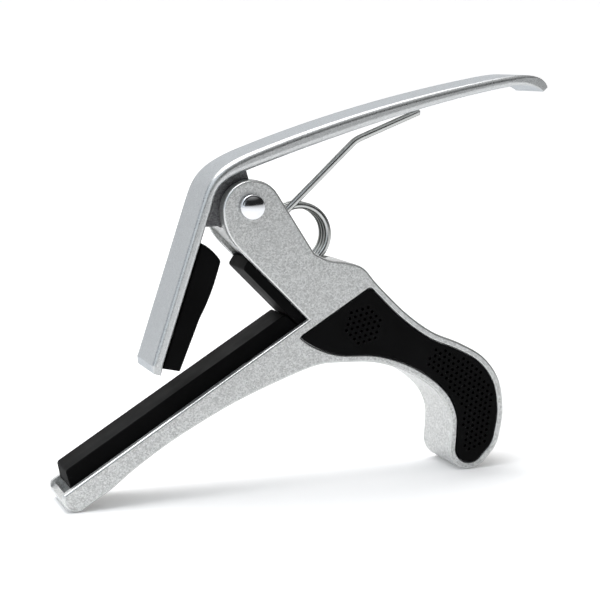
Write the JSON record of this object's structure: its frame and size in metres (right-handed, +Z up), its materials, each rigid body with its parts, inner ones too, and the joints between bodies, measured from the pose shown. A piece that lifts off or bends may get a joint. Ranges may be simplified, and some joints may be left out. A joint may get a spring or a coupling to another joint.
{
  "type": "guitar capo",
  "caption": "Spring clamp capo: a cast body with a padded string bar and a gripped hook handle, hinged to a padded thumb lever by a pin and a coil spring.",
  "frame": {"origin": "centre of the box round the part, at its base, the level of the bar's tip and the hook's foot it stands on", "axes": "+X from the tip of the string bar towards the hook and the lever's tip, +Y across the width along the pivot pin's axis from its dome head to its washer, +Z up"},
  "size_m": [0.119, 0.0198, 0.0925],
  "materials": {
    "cast_silver": "fine sandblasted silver with a pearl lustre, edges polished brighter",
    "polished_steel": "mirror polished",
    "spring_steel": "bright drawn wire",
    "pad_rubber": "smooth matt black",
    "grip_rubber": "satin black with small round dimples"
  },
  "bodies": {
    "frame": {"body": "cast_silver", "string_pad": "pad_rubber", "side_pad": "pad_rubber", "grip_front": "grip_rubber", "grip_rear": "grip_rubber", "pivot_pin": "polished_steel", "pin_washer": "polished_steel", "spring": "spring_steel"},
    "lever": {"lever": "cast_silver", "neck_pad": "pad_rubber"}
  },
  "joints": [
    {"name": "lever_pivot", "type": "hinge", "parent": "frame", "child": "lever", "pos_m": [-0.01422, 0, 0.06538], "axis": [0, 1, 0], "range_deg": [0, 32], "stiffness_Nm_per_rad": 0.8, "springref_deg": -45.84, "deforming": ["spring"]}
  ]
}
